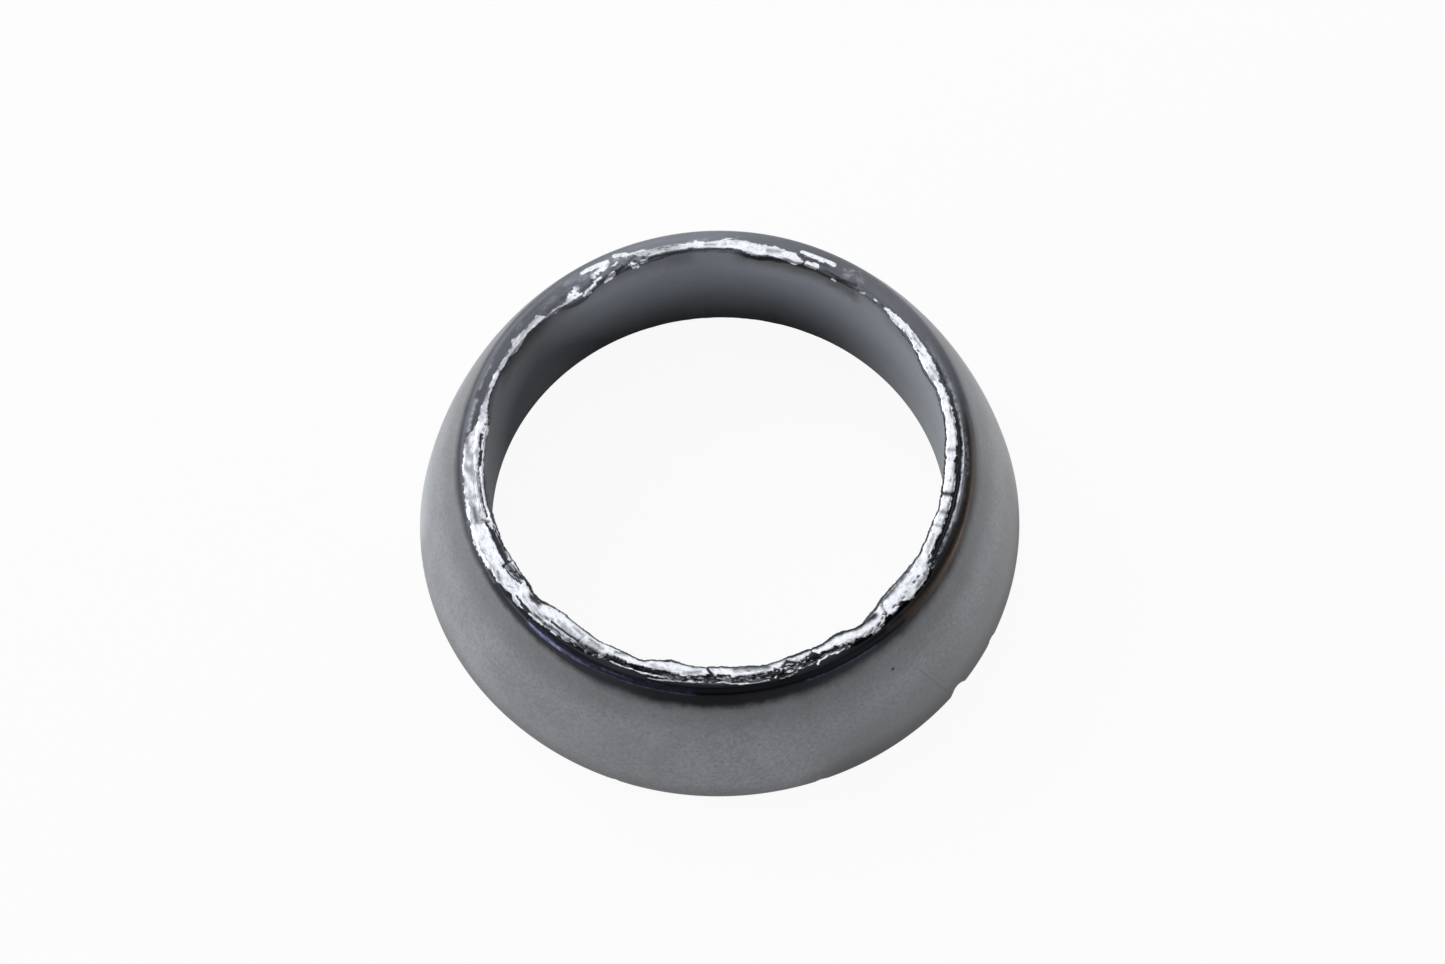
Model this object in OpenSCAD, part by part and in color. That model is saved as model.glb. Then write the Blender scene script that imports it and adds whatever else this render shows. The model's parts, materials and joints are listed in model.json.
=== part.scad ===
// Exhaust gasket: one pressed ring of graphite that seals a pipe joint.
// The ring stands on its broad base, its bore runs along Z, and its crumpled lip is at the top.
// The origin is the centre of the base. Sizes are in millimetres and angles in degrees.

/* [Ring] */
// Diameter of the straight bore that the pipe goes through
bore_d = 51; // [35:0.5:80]
// Radial thickness of the ring at its base
base_wall = 8.1; // [6.5:0.1:11]
// Radial width of the flat seat beside the bore, which carries the lip
seat_wall = 1.75; // [1.4:0.05:2.5]
// Height of the pressed body, from its base to that seat
body_h = 16.2; // [12:0.1:22]
// Radius of the domed flank
flank_r = 56; // [40:1:120]
// Radius of the burnished shoulder between the flank and the seat
shoulder_r = 1.25; // [0.8:0.05:2]
// Radius of the base's outer and inner edges
base_edge_r = 0.35; // [0.2:0.05:0.6]

/* [Lip] */
// Height of the lip's crown above its seat
lip_rise = 0.35; // [0.2:0.05:0.6]
// How far the lip's nose reaches over the bore
lip_reach = 0.35; // [0.2:0.05:0.6]
// Strip of the seat left bare outside the lip
lip_margin = 0.1; // [0.05:0.05:0.3]
// Depth of the crumples in the lip's skin
crumple = 0.09; // [0:0.01:0.12]
// Width of the cracks that run across the lip
crack_w = 0.3; // [0.15:0.05:0.5]
// Depth of the cracks below the lip's crown
crack_depth = 0.25; // [0.1:0.05:0.35]

/* [Chips] */
// Radius of the hollows left where flakes broke from the base's edge
chip_r = 1.6; // [1:0.1:2.5]
// How far the largest hollow bites into the base's edge
chip_bite = 0.7; // [0.3:0.05:1]

/* [Hidden] */

bore_r = bore_d / 2;
base_r = bore_r + base_wall;
seat_r = bore_r + seat_wall;

// Fineness of the turned surfaces and of the small and the large arcs in the section
turn_fn = 240;
arc_fn = 64;
flank_fn = 720;
// Overlap that makes a cut or a root pass well through the face that it crosses
overlap = 0.2;

// Centres of the arcs that round the base's outer edge and the shoulder
edge_c = [base_r - base_edge_r, base_edge_r];
shoulder_c = [seat_r, body_h - shoulder_r];
// Centre of the flank's arc, which runs on smoothly from the one into the other
flank_c = meeting_point(edge_c, shoulder_c, flank_r - base_edge_r, flank_r - shoulder_r);

// Number of sections along the lip
lip_steps = 180;
// The lip's section, from its inner foot over the crown to its outer foot. Each point is
// [place across, height]. Across is 0 at the bore's wall, -1 at the nose that overhangs the bore
// and 1 at the outer foot. Height is 0 at the seat and 1 at the crown.
lip_shape = [[0.1, 0], [-1, 0.3], [-0.9, 0.75], [-0.1, 1], [0.2, 0.7], [0.45, 0.95], [0.75, 0.85], [1, 0]];
// Places across of the two roots, which are sunk in the body under the feet
lip_roots = [0.2, 0.9];
// Uneven stretches of the lip: [azimuth, half width, extra reach, extra rise]
lumps = [
    [-8, 9, 0.45, 0.05],
    [-25, 9, 0.4, 0],
    [-42, 8, 0.55, 0.05],
    [-56, 3, -0.35, 0],
    [-62, 3, 0.25, 0.05],
    [-81, 4, -0.35, -0.05],
    [-103, 4, 0.3, 0.05],
    [-111, 3, -0.3, 0],
    [-133, 5, 0.35, 0.1],
    [-141, 3, -0.45, -0.1],
    [155, 9, -0.3, 0],
    [125, 6, 0.9, -0.1],
    [94, 8, -0.3, 0],
    [77, 5, 0.5, 0.05],
    [47, 8, -0.25, -0.15],
    [22, 4, 0.25, 0],
];
// Reach of the lip where it is pressed back almost to the bore's wall
least_reach = 0.05;
// Waves of the lip's unevenness: turns in one round, and what each multiplies the phase by
waves = [[7, 1], [17, 3], [31, 5]];
// Shares by which the lip's reach and rise waver, and the phase of each
reach_waver = [0.3, 20];
rise_waver = [0.15, 50];
// The crumples follow the same waves, this many times finer, with this turn of phase from row to row
crumple_fineness = 2;
crumple_turn = 90;
// Azimuths of the cracks across the lip
crack_azimuths = [-13, -79, -94];
// Chips in the base's outer edge: [azimuth, share of the largest bite]
chips = [[-41, 1], [-29, 0.45], [-73, 0.35], [-112, 0.4]];
// Slope at which a chip's hollow comes in from below
chip_slope = 30;
// Colours of the graphite and of the bare metal foil
graphite = [0.33, 0.34, 0.36];
foil = [0.82, 0.84, 0.88];

// Point at distance ra from p and rb from q, on the side towards the axis
function meeting_point(p, q, ra, rb) =
    let (
        d = norm(q - p),
        u = (q - p) / d,
        along = (ra * ra - rb * rb + d * d) / (2 * d),
        aside = sqrt(ra * ra - along * along)
    )
    p + u * along + [-u[1], u[0]] * aside;

// Point beyond the flank on the line from the flank's centre through p
function beyond(p) = flank_c + (p - flank_c) * (flank_r + overlap) / norm(p - flank_c);

// Difference of two azimuths, from -180 to 180
function turn_between(a, b) = let (d = (a - b + 540) % 360) d - 180;

// Sum of one column of the lumps at azimuth a
function lump_at(a, column) =
    let (parts = [for (l = lumps) l[column] * exp(-pow(turn_between(a, l[0]) / l[1], 2))])
    parts * [for (p = parts) 1];

// Unevenness along the lip, between -1 and 1, the same at 0 and 360 degrees
function waver(a, phase) =
    let (parts = [for (w = waves) sin(w[0] * a + w[1] * phase)])
    parts * [for (p = parts) 1 / len(waves)];

// Distance from the axis of a point of the lip, from its place across and its reach there
function lip_radius(across, reach) = bore_r + across * (across < 0 ? reach : seat_wall - lip_margin);

// Closed section of the lip at azimuth a, as [radius, height] points
function lip_section(a) =
    let (
        wavered_reach = lip_reach * (1 + reach_waver[0] * waver(a, reach_waver[1])),
        reach = max(least_reach, wavered_reach + lump_at(a, 2)),
        rise = lip_rise * (1 + rise_waver[0] * waver(a, rise_waver[1])) + lump_at(a, 3),
        last = len(lip_shape) - 1
    )
    concat(
        [[lip_radius(lip_roots[0], reach), body_h - overlap]],
        [for (i = [0:last]) let (
            p = lip_shape[i],
            rough = i == 0 || i == last ? 0 : crumple * waver(crumple_fineness * a, crumple_turn * i)
        ) [lip_radius(p[0], reach), body_h + p[1] * rise + rough]],
        [[lip_radius(lip_roots[1], reach), body_h - overlap]]
    );

// Half section of the body, with a smooth run of arcs from the base to the seat
module body_section() {
    difference() {
        union() {
            intersection() {
                translate(flank_c) circle(r = flank_r, $fn = flank_fn);
                polygon([
                    [bore_r, 0], [edge_c[0], 0], edge_c, beyond(edge_c),
                    beyond(shoulder_c), shoulder_c, [seat_r, body_h], [bore_r, body_h],
                ]);
            }
            translate(edge_c) circle(r = base_edge_r, $fn = arc_fn);
            translate(shoulder_c) circle(r = shoulder_r, $fn = arc_fn);
        }
        bore_edge_cut();
    }
}

// What rounds the edge between the base and the bore
module bore_edge_cut() {
    difference() {
        translate([bore_r - overlap, -overlap]) square(base_edge_r + overlap);
        translate([bore_r + base_edge_r, base_edge_r]) circle(r = base_edge_r, $fn = arc_fn);
    }
}

// Hollow where a flake broke from the base's outer edge
module chip(azimuth, share) {
    off = chip_r - chip_bite * share;
    rotate(azimuth)
        translate([base_r + off * cos(chip_slope), 0, -off * sin(chip_slope)])
            sphere(r = chip_r, $fn = arc_fn);
}

// Pressed body with its bore, flank, shoulder and seat
module body() {
    difference() {
        rotate_extrude($fn = turn_fn) body_section();
        for (c = chips) chip(c[0], c[1]);
    }
}

// Crumpled lip that stands on the seat and reaches unevenly over the bore
module lip() {
    sections = [for (i = [0:lip_steps - 1]) lip_section(i * 360 / lip_steps)];
    rows = len(sections[0]);
    points = [for (i = [0:lip_steps - 1]) let (a = i * 360 / lip_steps)
        for (p = sections[i]) [p[0] * cos(a), p[0] * sin(a), p[1]]];
    faces = [for (i = [0:lip_steps - 1], j = [0:rows - 1]) let (
            here = i * rows,
            next = ((i + 1) % lip_steps) * rows,
            k = (j + 1) % rows
        )
        for (f = [[here + j, next + j, next + k], [here + j, next + k, here + k]]) f];
    polyhedron(points, faces);
}

// Crack across the lip, open at the crown
module crack(azimuth) {
    inner_r = bore_r - 3 * lip_reach;
    rotate(azimuth)
        translate([inner_r, -crack_w / 2, body_h + lip_rise - crack_depth])
            cube([seat_r - inner_r, crack_w, 2 * lip_rise]);
}

// The whole ring
module gasket_ring() {
    color(graphite) body();
    color(foil) difference() {
        lip();
        for (a = crack_azimuths) crack(a);
    }
}

gasket_ring();
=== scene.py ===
# %% [markdown]
# # Exhaust gasket
# The object is a seal ring for an exhaust pipe: graphite and fine wire mesh, pressed into one piece.
# It has a straight bore, a broad flat base and a domed flank, a burnished shoulder and, round the
# narrow end of the bore, a lip of bright crumpled foil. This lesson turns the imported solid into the
# finished ring. The solid gives the place and the sizes, and the new mesh gives the finish.

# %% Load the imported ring
import json
import math

import bpy
import numpy as np
from mathutils import Matrix, Vector, noise


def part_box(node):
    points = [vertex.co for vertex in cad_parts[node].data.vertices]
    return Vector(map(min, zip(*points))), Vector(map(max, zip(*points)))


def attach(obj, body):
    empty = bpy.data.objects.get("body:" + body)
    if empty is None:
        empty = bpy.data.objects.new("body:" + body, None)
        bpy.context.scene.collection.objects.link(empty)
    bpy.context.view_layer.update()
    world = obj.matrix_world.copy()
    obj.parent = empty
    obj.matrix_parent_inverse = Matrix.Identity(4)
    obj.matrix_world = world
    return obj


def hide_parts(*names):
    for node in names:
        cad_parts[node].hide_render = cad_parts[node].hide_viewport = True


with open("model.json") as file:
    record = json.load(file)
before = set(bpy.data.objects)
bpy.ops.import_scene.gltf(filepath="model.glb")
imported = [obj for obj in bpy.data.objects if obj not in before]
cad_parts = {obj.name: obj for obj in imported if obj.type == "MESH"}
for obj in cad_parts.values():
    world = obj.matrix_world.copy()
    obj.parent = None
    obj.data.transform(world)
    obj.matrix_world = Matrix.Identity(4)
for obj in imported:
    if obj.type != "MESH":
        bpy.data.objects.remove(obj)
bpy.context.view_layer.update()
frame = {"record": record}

# %% [markdown]
# ## Sizes
# The ring's outer radius is read from the loaded solid, and the bore's radius and straight length
# from the record's mount, so that the mesh can't drift from them. The other sizes are the pressed
# section's own: the radii of its edges, of the shoulder and of the domed flank.

# %% Sizes of the pressed section
MM = 0.001
ring_low, ring_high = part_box("gasket_ring")
bore_mount = next(m for m in frame["record"]["mounts"] if m["name"] == "pipe_bore")

base_radius = ring_high.x
bore_radius = bore_mount["dims"]["r_mm"] * MM
edge_round = 0.35 * MM
shoulder_round = 1.25 * MM
flank_dome = 56 * MM
seat_width = 1.75 * MM
lip_reach = 0.35 * MM
lip_rise = 0.35 * MM
seat_height = bore_mount["dims"]["length_mm"] * MM + edge_round
seat_radius = bore_radius + seat_width
print("base radius", base_radius, "bore radius", bore_radius, "seat height", seat_height)

# %% [markdown]
# ## Camera
# The photo looks down on the narrow end from about 64 degrees above the base, through a long lens,
# so the ring hardly narrows with distance. The camera stands on the near side, is rolled a little,
# and has the small shift that frames the ring as the photo does.

# %% Camera
PHOTO_WIDTH = 1445
SENSOR_WIDTH = 36
focal_pixels = 4426
camera_distance = 496.6 * MM
camera_elevation = math.radians(64.35)
camera_roll = math.radians(-2.55)
centre_offset_pixels = (-3.2, 37.4)

bpy.ops.object.camera_add()
camera = bpy.context.object
camera.name = "photo_camera"
camera.data.sensor_width = SENSOR_WIDTH
camera.data.lens = focal_pixels * SENSOR_WIDTH / PHOTO_WIDTH
camera.data.shift_x = -centre_offset_pixels[0] / PHOTO_WIDTH
camera.data.shift_y = centre_offset_pixels[1] / PHOTO_WIDTH
stand = Vector((0, -math.cos(camera_elevation), math.sin(camera_elevation))) * camera_distance
tilt = Matrix.Rotation(math.pi / 2 - camera_elevation, 4, "X")
camera.matrix_world = Matrix.Translation(stand) @ tilt @ Matrix.Rotation(camera_roll, 4, "Z")
camera.data.clip_start = 0.01
camera.data.clip_end = 50
bpy.context.scene.camera = camera
print("lens", round(camera.data.lens, 1), "mm")

# %% [markdown]
# ## The section
# A pressed ring is a turned shape, so it starts as one closed section that is spun round the bore.
# The section runs from the base over the outer edge, up the flank, round the shoulder, over the lip
# and down the bore. Its arcs touch each other smoothly: the flank's centre lies where it touches
# the arcs of the base's edge and of the shoulder from outside.

# %% Arcs of the section
def arc(centre, radius, start, end, count):
    """Points along an arc, with its start left out and its end kept. Angles are in radians."""
    angles = np.linspace(start, end, count + 1)[1:]
    return [(centre[0] + radius * math.cos(a), centre[1] + radius * math.sin(a)) for a in angles]


def straight(start, end, count):
    """Points along a line, with its start left out and its end kept."""
    return [tuple(np.array(start) + (np.array(end) - start) * s) for s in np.linspace(0, 1, count + 1)[1:]]


def smooth_run(points, count):
    """A smooth curve through a few points, as count points, with its start left out."""
    points = np.array(points)
    lengths = np.concatenate([[0], np.cumsum(np.linalg.norm(np.diff(points, axis=0), axis=1))])
    slopes = np.gradient(points, lengths, axis=0)
    run = []
    for s in np.linspace(0, lengths[-1], count + 1)[1:]:
        k = min(int(np.searchsorted(lengths, s, side="left")) - 1, len(points) - 2)
        step = lengths[k + 1] - lengths[k]
        t = (s - lengths[k]) / step
        run.append(tuple(
            (2 * t ** 3 - 3 * t ** 2 + 1) * points[k] + (t ** 3 - 2 * t ** 2 + t) * step * slopes[k]
            + (3 * t ** 2 - 2 * t ** 3) * points[k + 1] + (t ** 3 - t ** 2) * step * slopes[k + 1]
        ))
    return run


edge_centre = np.array([base_radius - edge_round, edge_round])
shoulder_centre = np.array([seat_radius, seat_height - shoulder_round])
span = np.linalg.norm(shoulder_centre - edge_centre)
along = (shoulder_centre - edge_centre) / span
reach_to_edge = flank_dome - edge_round
reach_to_shoulder = flank_dome - shoulder_round
advance = (reach_to_edge ** 2 - reach_to_shoulder ** 2 + span ** 2) / (2 * span)
aside = math.sqrt(reach_to_edge ** 2 - advance ** 2)
flank_centre = edge_centre + along * advance + np.array([-along[1], along[0]]) * aside
flank_start = math.atan2(*(edge_centre - flank_centre)[::-1])
flank_end = math.atan2(*(shoulder_centre - flank_centre)[::-1])
print("flank slopes", round(math.degrees(flank_start), 1), "to", round(math.degrees(flank_end), 1))

# %% [markdown]
# The lip is a low bead that stands on the seat and leans over the bore. Its form is drawn once as a
# shape of unit width and height, because its width, reach and height change round the ring. It gets
# by far the most points, because the crumpled foil needs them.

# %% The closed section
BEAD_ROWS = 30
SEAT_ROWS = 12
TUCK_ROWS = 4
BEAD_SHAPE = [(0, 0), (0.02, 0.40), (0.055, 0.76), (0.12, 0.94), (0.25, 1.0), (0.54, 1.0), (0.72, 0.90), (0.86, 0.64),
              (0.95, 0.18), (1.0, -0.45), (0.98, -1.0)]
TUCK_DEPTH = 1.6
bead_unit = np.array(smooth_run(BEAD_SHAPE, BEAD_ROWS))
foot_radius = seat_radius - 0.85 * MM
nose_radius = bore_radius - lip_reach
bead = [(foot_radius + (nose_radius - foot_radius) * x, seat_height + lip_rise * h) for x, h in bead_unit]
lip_base = (bore_radius, seat_height - TUCK_DEPTH * lip_rise)

CHIP_REACH = 0.8 * MM
base_run = straight((bore_radius + edge_round, 0), (base_radius - edge_round, 0), 2)
base_run.insert(1, (base_radius - CHIP_REACH, 0))
fan = flank_start + (flank_end - flank_start) * np.linspace(0, 1, 15)[1:] ** 1.6
parts = {
    "base": base_run,
    "base_edge": arc(edge_centre, edge_round, -math.pi / 2, flank_start, 4),
    "flank": [tuple(flank_centre + flank_dome * np.array((math.cos(a), math.sin(a)))) for a in fan],
    "shoulder": arc(shoulder_centre, shoulder_round, flank_end, math.pi / 2, 11),
    "seat": straight((seat_radius, seat_height), (foot_radius, seat_height), SEAT_ROWS),
    "bead": bead,
    "tuck": straight(bead[-1], lip_base, TUCK_ROWS),
    "bore": straight(lip_base, (bore_radius, edge_round), 3),
    "bore_edge": arc((bore_radius + edge_round, edge_round), edge_round, math.pi, 1.5 * math.pi, 2),
}
section = np.array([point for run in parts.values() for point in run])
lengths = np.linalg.norm(section - np.roll(section, 1, axis=0), axis=1)
lengths[0] = 0
way = np.cumsum(lengths) / MM
ends = np.cumsum([len(run) for run in parts.values()])
rows_of = {name: slice(end - len(run), end) for (name, run), end in zip(parts.items(), ends)}
way_end = {name: way[end - 1] for name, end in zip(parts, ends)}
print("points in the section:", len(section), "runs end at", {k: round(v, 2) for k, v in way_end.items()})

# %% [markdown]
# ## Spinning the ring
# A lathe shape could be built from stacked circles, but drawing the section point by point and
# spinning it keeps every row of points in line. The chain starts from a plane that is merged to one
# point, and each extrusion adds the next point. One spin of 1200 steps is slow, so a narrow wedge is
# spun first, and copies of it complete the ring. Then the doubles are merged and the normals turned
# outwards.

# %% Draw the section and spin it
WEDGES = 30
WEDGE_STEPS = 40
STEPS = WEDGES * WEDGE_STEPS
SAME_PLACE = 0.002 * MM
wedge_angle = 2 * math.pi / WEDGES
rest_angle = 2 * math.pi - wedge_angle
about_bore = {"center": (0, 0, 0), "axis": (0, 0, 1)}

bpy.ops.object.select_all(action="DESELECT")
bpy.ops.mesh.primitive_plane_add(size=MM)
ring = bpy.context.object
ring.name = "pressed_ring"
bpy.ops.object.mode_set(mode="EDIT")
bpy.ops.mesh.select_mode(type="VERT")
bpy.ops.mesh.merge(type="CENTER")
pen = np.zeros(2)
for number, point in enumerate(np.vstack([section, section[:1]])):
    step = point - pen
    move = {"value": (step[0], 0, step[1])}
    if number == 0:
        bpy.ops.transform.translate(**move)
    else:
        bpy.ops.mesh.extrude_region_move(TRANSFORM_OT_translate=move)
    pen = point
bpy.ops.mesh.select_all(action="SELECT")
bpy.ops.mesh.remove_doubles(threshold=SAME_PLACE)
bpy.ops.mesh.select_all(action="SELECT")
bpy.ops.mesh.spin(steps=WEDGE_STEPS, angle=wedge_angle, **about_bore)
bpy.ops.mesh.select_all(action="SELECT")
bpy.ops.mesh.spin(steps=WEDGES - 1, angle=rest_angle, dupli=True, use_auto_merge=False, **about_bore)
bpy.ops.mesh.select_all(action="SELECT")
bpy.ops.mesh.remove_doubles(threshold=SAME_PLACE)
bpy.ops.mesh.select_all(action="SELECT")
bpy.ops.mesh.normals_make_consistent(inside=False)
bpy.ops.object.mode_set(mode="OBJECT")
print("ring has", len(ring.data.vertices), "points and", len(ring.data.polygons), "faces")

# %% [markdown]
# ## A grid over the ring
# Everything that follows is worked by place on the ring: how far round it a point is, and how far
# along the section. So the points are sorted into a grid with one line for each spin step and one
# column for each point of the section. Lengths in the grid are in millimetres and azimuths in
# degrees, with 0 on the right, 90 at the far side and -90 at the near side.

# %% Sort the points into the grid
flat = np.empty(len(ring.data.vertices) * 3)
ring.data.vertices.foreach_get("co", flat)
points = flat.reshape(-1, 3)
turned = np.arctan2(points[:, 1], points[:, 0])
step_of = np.rint(turned / (2 * math.pi) * STEPS).astype(int) % STEPS
profile = np.stack([np.hypot(points[:, 0], points[:, 1]), points[:, 2]], axis=1)
row_of = np.empty(len(points), int)
BLOCK = 10000
for start in range(0, len(points), BLOCK):
    gaps = np.linalg.norm(profile[start:start + BLOCK, None] - section[None], axis=2)
    row_of[start:start + BLOCK] = gaps.argmin(axis=1)

azimuth = np.arange(STEPS) * 360 / STEPS
azimuth = np.where(azimuth > 180, azimuth - 360, azimuth)[:, None]
radius = np.tile(section[:, 0] / MM, (STEPS, 1))
height = np.tile(section[:, 1] / MM, (STEPS, 1))
print("grid of", radius.shape, "for", len(points), "points")

# %% [markdown]
# ## Small tools for uneven forms
# A bump is one uneven place on the ring, with its azimuth and half width. A noise is read on a tube
# whose round is shorter than the real one, which draws its spots out along the ring and still closes
# without a seam.

# %% Bumps, ramps and noises
MID_RADIUS = 26.3


def turn_between(a, b):
    """Difference of azimuths, from -180 to 180 degrees."""
    return (a - b + 180) % 360 - 180


def bump_at(centre, half_width):
    return np.exp(-(turn_between(azimuth, centre) / half_width) ** 2)


def ease(x):
    """A smooth rise from 0 to 1 while x goes from 0 to 1."""
    x = np.clip(x, 0, 1)
    return x * x * (3 - 2 * x)


def stretch_over(first, last, fade=3.0):
    """1 from the first azimuth to the last, going up, and 0 elsewhere."""
    middle, half = (first + last) / 2, (last - first) / 2
    return ease((half - np.abs(turn_between(azimuth, middle))) / fade + 0.5)


def round_ring(knots, where=None):
    """A value for each azimuth, straight between (azimuth, value) knots that go round the ring."""
    where = azimuth if where is None else where
    places, values = np.array(sorted(knots)).T
    return np.interp(where, places, values, period=360)


def noise_over(columns, size, drawn_out=1.0, layer=0.0):
    """Noise over some columns of the grid, with spots of about that size in millimetres."""
    reach = MID_RADIUS / drawn_out / size
    field = np.zeros(radius.shape)
    turns = np.radians(azimuth[:, 0])
    for step, (c, s) in enumerate(zip(np.cos(turns) * reach, np.sin(turns) * reach)):
        for column in range(columns.start, columns.stop):
            field[step, column] = noise.noise(Vector((c + layer, s, along[step, column] / size)))
    return field


def noise_round(size, layer):
    """Noise for each azimuth, the same at every place along the section."""
    reach = MID_RADIUS / size
    turns = np.radians(azimuth[:, 0])
    return np.array([[noise.noise(Vector((reach * math.cos(t) + layer, reach * math.sin(t), 0)))] for t in turns])


# %% [markdown]
# ## The uneven lip
# A pressed lip is never even: in some places it leans far over the bore, in others it is pushed
# back or broken away. Each such stretch is one line in a list: its azimuth, its half width, how
# much further it reaches over the bore, and how much higher it stands. A shallow groove runs along
# its outer foot.

# %% Lay the bead
LUMPS = [
    (-8, 9, 0.45, 0.05),
    (-25, 9, 0.40, 0.00),
    (-42, 8, 0.55, 0.05),
    (-56, 3, -0.35, 0.00),
    (-62, 3, 0.25, 0.05),
    (-81, 4, -0.35, -0.05),
    (-103, 4, 0.30, 0.05),
    (-111, 3, -0.30, 0.00),
    (-133, 5, 0.35, 0.10),
    (-141, 3, -0.45, -0.10),
    (155, 9, -0.30, 0.00),
    (125, 6, 0.90, -0.10),
    (94, 8, -0.30, 0.00),
    (77, 5, 0.50, 0.05),
    (47, 8, -0.25, -0.15),
    (22, 4, 0.25, 0.00),
]
LEAST_REACH = 0.05
WAVES = [(7, 20), (17, 60), (31, 100)]
BEAD_FOOT = [(-165, 26.4), (-145, 26.5), (-138, 27.1), (-124, 27.15), (-119, 26.7), (-110, 26.6), (-100, 26.75), (-94, 26.6),
             (-88, 26.75), (-78, 26.8), (-70, 26.5), (-62, 26.65), (-58, 27.05), (-54, 27.2), (-49.5, 26.95), (-45, 27.0),
             (-42, 27.2), (-36, 27.2), (-32, 26.75), (-28, 26.25), (-15, 26.3), (0, 26.5), (15, 26.4), (30, 26.5), (45, 26.2), (60, 26.4),
             (75, 26.9), (90, 26.6), (110, 26.6), (130, 26.5), (150, 26.4), (165, 26.6), (180, 26.45)]
GROOVE = [(-178, 0.0), (-145, 0.0), (-130, 0.07), (0, 0.10), (20, 0.07), (38, 0.02), (90, 0.0), (160, 0.0)]
GROOVE_WIDTH = 0.38
FLATNESS = [(-170, 1.0), (-160, 3.0), (-140, 2.5), (-120, 2.5), (-90, 2.5), (-62, 2.5), (-57, 3.5), (-33, 3.5), (-28, 2.0),
            (0, 1.5), (60, 1.0), (180, 1.0)]

bead_rows, seat_rows, tuck_rows = rows_of["bead"], rows_of["seat"], rows_of["tuck"]
lip_rows = slice(seat_rows.start, tuck_rows.stop)
top_rows = slice(rows_of["shoulder"].start, tuck_rows.stop)
unevenness = sum(np.sin(np.radians(turns * azimuth + phase)) for turns, phase in WAVES) / len(WAVES)
reach = lip_reach / MM * (1 + 0.3 * unevenness) + sum(l[2] * bump_at(l[0], l[1]) for l in LUMPS)
reach = np.maximum(reach, LEAST_REACH)
rise = lip_rise / MM * (1.1 + 0.15 * unevenness) + sum(l[3] * bump_at(l[0], l[1]) for l in LUMPS)
outer_fray = noise_round(0.9, 0) + 0.6 * noise_round(0.35, 9)
inner_fray = noise_round(1.1, 31) + 0.8 * noise_round(0.3, 57)
foot = round_ring(BEAD_FOOT) + 0.08 * outer_fray
nose = bore_radius / MM - reach + 0.09 * inner_fray
seat = seat_height / MM
seat_end = seat_radius / MM

unit_x, unit_h = bead_unit.T
flatness = np.where(unit_x < 0.3, round_ring(FLATNESS), 1.0)
bead_h = 1 - np.sign(1 - unit_h) * np.abs(1 - unit_h) ** flatness
seat_share = np.linspace(0, 1, SEAT_ROWS + 1)[1:]
groove = round_ring(GROOVE)
radius[:, seat_rows] = seat_end + (foot - seat_end) * seat_share
height[:, seat_rows] = seat - groove * ease(1 - (radius[:, seat_rows] - foot) / GROOVE_WIDTH)
radius[:, bead_rows] = foot + (nose - foot) * unit_x
height[:, bead_rows] = seat + rise * bead_h - groove * ease(1 - unit_x / 0.25)
tuck_share = ease(np.linspace(0, 1, TUCK_ROWS + 1)[1:])
radius[:, tuck_rows] = radius[:, [bead_rows.stop - 1]] * (1 - tuck_share) + bore_radius / MM * tuck_share
across = np.zeros(radius.shape)
across[:, bead_rows] = unit_x
across[:, bead_rows.stop:] = 1

along = np.tile(way, (STEPS, 1))
pieces = np.hypot(np.diff(radius, axis=1), np.diff(height, axis=1))
along[:, top_rows.start:] = along[:, [top_rows.start - 1]] + np.cumsum(pieces[:, top_rows.start - 1:], axis=1)
print("bead reaches over the bore by", round(reach.min(), 2), "to", round(reach.max(), 2), "mm")

# %% [markdown]
# ## Places as the photo shows them
# The edges, cracks and flecks of the foil were measured in the photo, on a level plane at
# the lip's height. So each point of the grid is moved along the photo's line of sight onto that
# plane, which gives the azimuth and the radius at which the photo shows it. A stroke is one measured
# feature: the azimuth and radius of both its ends, its half width, and its strength from 0 to 1.

# %% Seen places and strokes
SEEN_PLANE = 16.3
THINNEST = 0.095

turns = np.radians(azimuth)
seen_x = radius * np.cos(turns)
seen_y = radius * np.sin(turns) + (height - SEEN_PLANE) / math.tan(camera_elevation)
seen_turn = np.degrees(np.arctan2(seen_y, seen_x))
seen_radius = np.hypot(seen_x, seen_y)

patches = noise_over(top_rows, 1.4, 1.8, layer=41)
crumbs = noise_over(top_rows, 0.34, 1.3, layer=53)
grit = noise_over(top_rows, 0.19, 1.2, layer=61)
wander = 0.06 * patches + 0.09 * crumbs + 0.05 * grit


def strokes_over(strokes, soft=False):
    """The strongest stroke at each seen place of the top. A soft one has no clear edge."""
    field = np.zeros(radius.shape)
    for first, first_radius, last, last_radius, half_width, strength in strokes:
        run_turn = math.radians(last - first) * MID_RADIUS
        run_radius = last_radius - first_radius
        off_turn = np.radians(turn_between(seen_turn, first)) * MID_RADIUS
        off_radius = seen_radius + wander - first_radius
        share = (off_turn * run_turn + off_radius * run_radius) / (run_turn ** 2 + run_radius ** 2)
        share = share.clip(0, 1)
        away = np.hypot(off_turn - share * run_turn, off_radius - share * run_radius) / max(half_width, THINNEST)
        field = np.maximum(field, strength * (np.exp(-away ** 2) if soft else ease(1.6 - away)))
    field[:, :top_rows.start] = 0
    field[:, top_rows.stop:] = 0
    field[:, tuck_rows] *= 1 - tuck_share
    return field
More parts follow.
